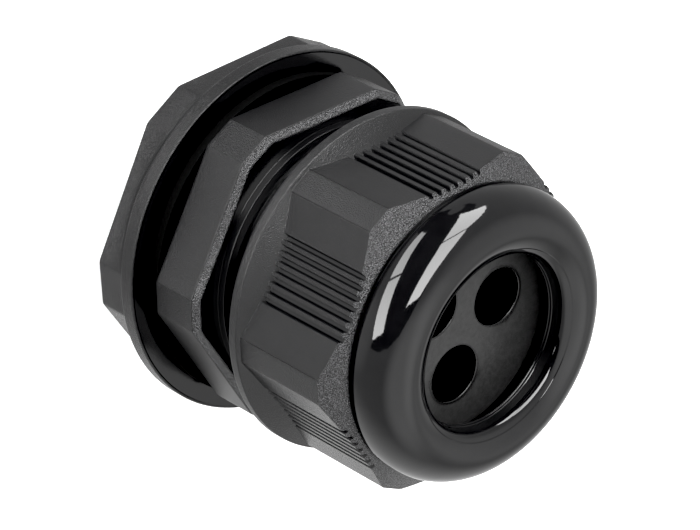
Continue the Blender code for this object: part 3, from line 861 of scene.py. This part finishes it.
# %% Camera
CAMERA_AZIMUTH, CAMERA_ELEVATION, CAMERA_ROLL = 49.615, 40.29, 117.65
AIM = np.array([0.0, -0.40, 20.34])
CAMERA_DISTANCE, CAMERA_LENS, SENSOR_WIDTH = 407.5, 205.714, 36.0
NEAREST, FARTHEST = 0.05, 20.0  # metres, between which the camera sees


def camera_axes():
    """Right, up and back of the rolled camera: right = level cos(roll) + upright sin(roll)."""
    a, e, roll = np.radians([CAMERA_AZIMUTH, CAMERA_ELEVATION, CAMERA_ROLL])
    back = np.array([math.sin(a) * math.cos(e), -math.cos(a) * math.cos(e), math.sin(e)])
    level = np.array([math.cos(a), math.sin(a), 0.0])
    upright = np.cross(back, level)
    right = level * math.cos(roll) + upright * math.sin(roll)
    return right, np.cross(back, right), back


RIGHT, UP, BACK = camera_axes()
camera = bpy.data.objects.new("camera", bpy.data.cameras.new("camera"))
bpy.context.scene.collection.objects.link(camera)
place = (AIM + BACK * CAMERA_DISTANCE) * MM
camera.rotation_mode = "QUATERNION"
camera.rotation_quaternion = Matrix(np.column_stack([RIGHT, UP, BACK]).tolist()).to_quaternion()
camera.location = place.tolist()
camera.data.lens = CAMERA_LENS
camera.data.sensor_width = SENSOR_WIDTH
camera.data.clip_start, camera.data.clip_end = NEAREST, FARTHEST
bpy.context.scene.camera = camera
print("camera at", np.round(place / MM, 1), "mm")

# %% [markdown]
# ## The studio
# Black gloss shows nothing but its surroundings, so the light is a set of large soft surfaces: a
# white tent all round, two tall softboxes in two halves each, and a black card behind them, which
# makes the deep stripes between the highlights. They are laid out by angles seen from the gland.

# %% Sheets of light
STUDIO_CENTRE = np.array([0.0, 0.0, 0.03])
SOFTBOX_DISTANCE, BLACK_DISTANCE = 0.7, 1.6
STEPS_UP, STEPS_ACROSS = 6, 12  # of a sheet: between two of its directions, and across it
TURNED_OVER = [0, 3, 2, 1]  # a face's points the other way round


def toward(a, e):
    """Direction a radians right of and e above the line to the camera."""
    return RIGHT * np.sin(a) * np.cos(e) + UP * np.sin(e) + BACK * np.cos(a) * np.cos(e)


def glow_material(name):
    """Emission as strong as the radiance number on each point."""
    material = bpy.data.materials.new(name)
    material.use_nodes = True
    tree = material.node_tree
    tree.nodes.clear()
    radiance = add(tree, "ShaderNodeAttribute", {"attribute_name": "radiance"}).outputs["Fac"]
    glow = add(tree, "ShaderNodeEmission", Color=(1, 1, 1, 1), Strength=radiance)
    add(tree, "ShaderNodeOutputMaterial", Surface=glow.outputs[0])
    return material


def card(name, edges, distance, at_foot, at_top):
    """A sheet of light, or of black, bent round the gland: point = (1-u) * left edge + u * right edge.

    Both edges are lists of directions, from the foot of the sheet up, and its light changes evenly
    from the foot to the top.
    """
    foot = np.arange(len(edges[0]))
    up = np.linspace(0, foot[-1], STEPS_UP * foot[-1] + 1)
    left, right = (
        np.stack([np.interp(up, foot, edge[:, k]) for k in (0, 1)], axis=-1)
        for edge in np.array(edges, float)
    )
    u = np.linspace(0, 1, STEPS_ACROSS + 1)[None, :, None]
    angles = np.radians((1 - u) * left[:, None] + u * right[:, None])
    points = toward(angles[..., :1], angles[..., 1:]) * distance + STUDIO_CENTRE
    faces = grid_faces(*points.shape[:2])[:, TURNED_OVER]
    mesh = bpy.data.meshes.new(name)
    mesh.from_pydata(points.reshape(-1, 3).tolist(), [], faces.tolist())
    radiance = np.repeat(np.linspace(at_foot, at_top, len(up)), points.shape[1]).astype(np.float32)
    mesh.attributes.new("radiance", "FLOAT", "POINT").data.foreach_set("value", radiance)
    mesh.materials.append(glow_material(name))
    sheet = bpy.data.objects.new(name, mesh)
    bpy.context.scene.collection.objects.link(sheet)
    sheet.visible_camera = False


LEFT_LOW = [[(-59, -11), (-61, 29)], [(-38.5, -11), (-41.5, 31)]]
LEFT_HIGH = [[(-61.3, 31), (-67, 50), (-74, 66)], [(-41.7, 33), (-46, 50), (-53, 66)]]
RIGHT_LOW = [[(-5, -3), (10, 44)], [(15.5, -3), (40, 43)]]
RIGHT_HIGH = [[(10.5, 45.5), (19, 64), (33, 77)], [(41, 44.5), (62, 55), (84, 66)]]
BEHIND = [
    [(-24, -26), (-46, -23), (-62, -15), (-54, -5), (-52, 30), (-60, 60), (-110, 67), (-140, 84)],
    [(-20, -26), (0, -23), (12, -15), (19, -5), (27, 30), (42, 60), (56, 70), (150, 84)],
]
card("softbox_left_low", LEFT_LOW, SOFTBOX_DISTANCE, 12.5, 9.0)
card("softbox_left_high", LEFT_HIGH, SOFTBOX_DISTANCE, 9.0, 6.5)
card("softbox_right_low", RIGHT_LOW, SOFTBOX_DISTANCE, 13.5, 11.0)
card("softbox_right_high", RIGHT_HIGH, SOFTBOX_DISTANCE, 11.0, 12.0)
card("black_card", BEHIND, BLACK_DISTANCE, 0.0, 0.0)

# %% [markdown]
# The tent isn't even: four soft patches of it are brighter. Each has a direction as on the sheets,
# the angles from its middle at which it starts to fade and is gone, and the light that it adds. The
# view's black level lets the deepest tones fall to black, as in a printed catalogue. It is a
# setting of the view, and no part of any material.

# %% The tent and the view
TENT = 0.6
FILLS = [
    ((75, -12), 12, 48, 0.55),
    ((-82, 0), 8, 28, 0.35),
    ((38, -50), 18, 48, 0.9),
    ((-170, -35), 20, 60, 0.45),
]
BLACK_LEVEL = 0.008
world = bpy.data.worlds.new("white_tent")
world.use_nodes = True
tent = world.node_tree
direction = add(tent, "ShaderNodeTexCoord").outputs["Generated"]
strength = TENT
for middle, core, edge, extra in FILLS:
    patch = tuple(toward(*np.radians(middle)).tolist())
    nearness = add(tent, "ShaderNodeVectorMath", {"operation": "DOT_PRODUCT"}, n0=direction, n1=patch)
    share = add(
        tent,
        "ShaderNodeMapRange",
        {"interpolation_type": "SMOOTHSTEP"},
        Value=nearness.outputs["Value"],
        n1=math.cos(math.radians(edge)),
        n2=math.cos(math.radians(core)),
        n3=0.0,
        n4=extra,
    )
    total = add(tent, "ShaderNodeMath", {"operation": "ADD"}, n0=share.outputs[0], n1=strength)
    strength = total.outputs[0]
tent.nodes["Background"].inputs["Color"].default_value = (1, 1, 1, 1)
tent.links.new(strength, tent.nodes["Background"].inputs["Strength"])
bpy.context.scene.world = world
view = bpy.context.scene.view_settings
view.view_transform = "Standard"
view.use_curve_mapping = True
view.curve_mapping.black_level = (BLACK_LEVEL, BLACK_LEVEL, BLACK_LEVEL)

# %% [markdown]
# ## The floor
# A plain pale floor at height zero takes a weak shadow. It glows by itself, and only the camera
# sees it: reflections pass through to the tent, as they would over a white glass table lit from
# below.

# %% Floor
FLOOR_HALF, FLOOR_GLOW, FLOOR_ROUGHNESS = 1.5, 0.75, 0.9
floor_corners = [(x * FLOOR_HALF, y * FLOOR_HALF, 0) for x, y in ((-1, -1), (1, -1), (1, 1), (-1, 1))]
floor_mesh = bpy.data.meshes.new("floor")
floor_mesh.from_pydata(floor_corners, [], [(0, 1, 2, 3)])
pale, _, pale_shader = new_material("floor_matt_white")
pale_shader.inputs["Base Color"].default_value = linear("#f4f4f4")
pale_shader.inputs["Roughness"].default_value = FLOOR_ROUGHNESS
pale_shader.inputs["Specular IOR Level"].default_value = 0.0
pale_shader.inputs["Emission Color"].default_value = (1, 1, 1, 1)
pale_shader.inputs["Emission Strength"].default_value = FLOOR_GLOW
floor_mesh.materials.append(pale)
ground = bpy.data.objects.new("floor", floor_mesh)
bpy.context.scene.collection.objects.link(ground)
ground.visible_glossy = False
ground.visible_diffuse = False
ground.visible_shadow = False
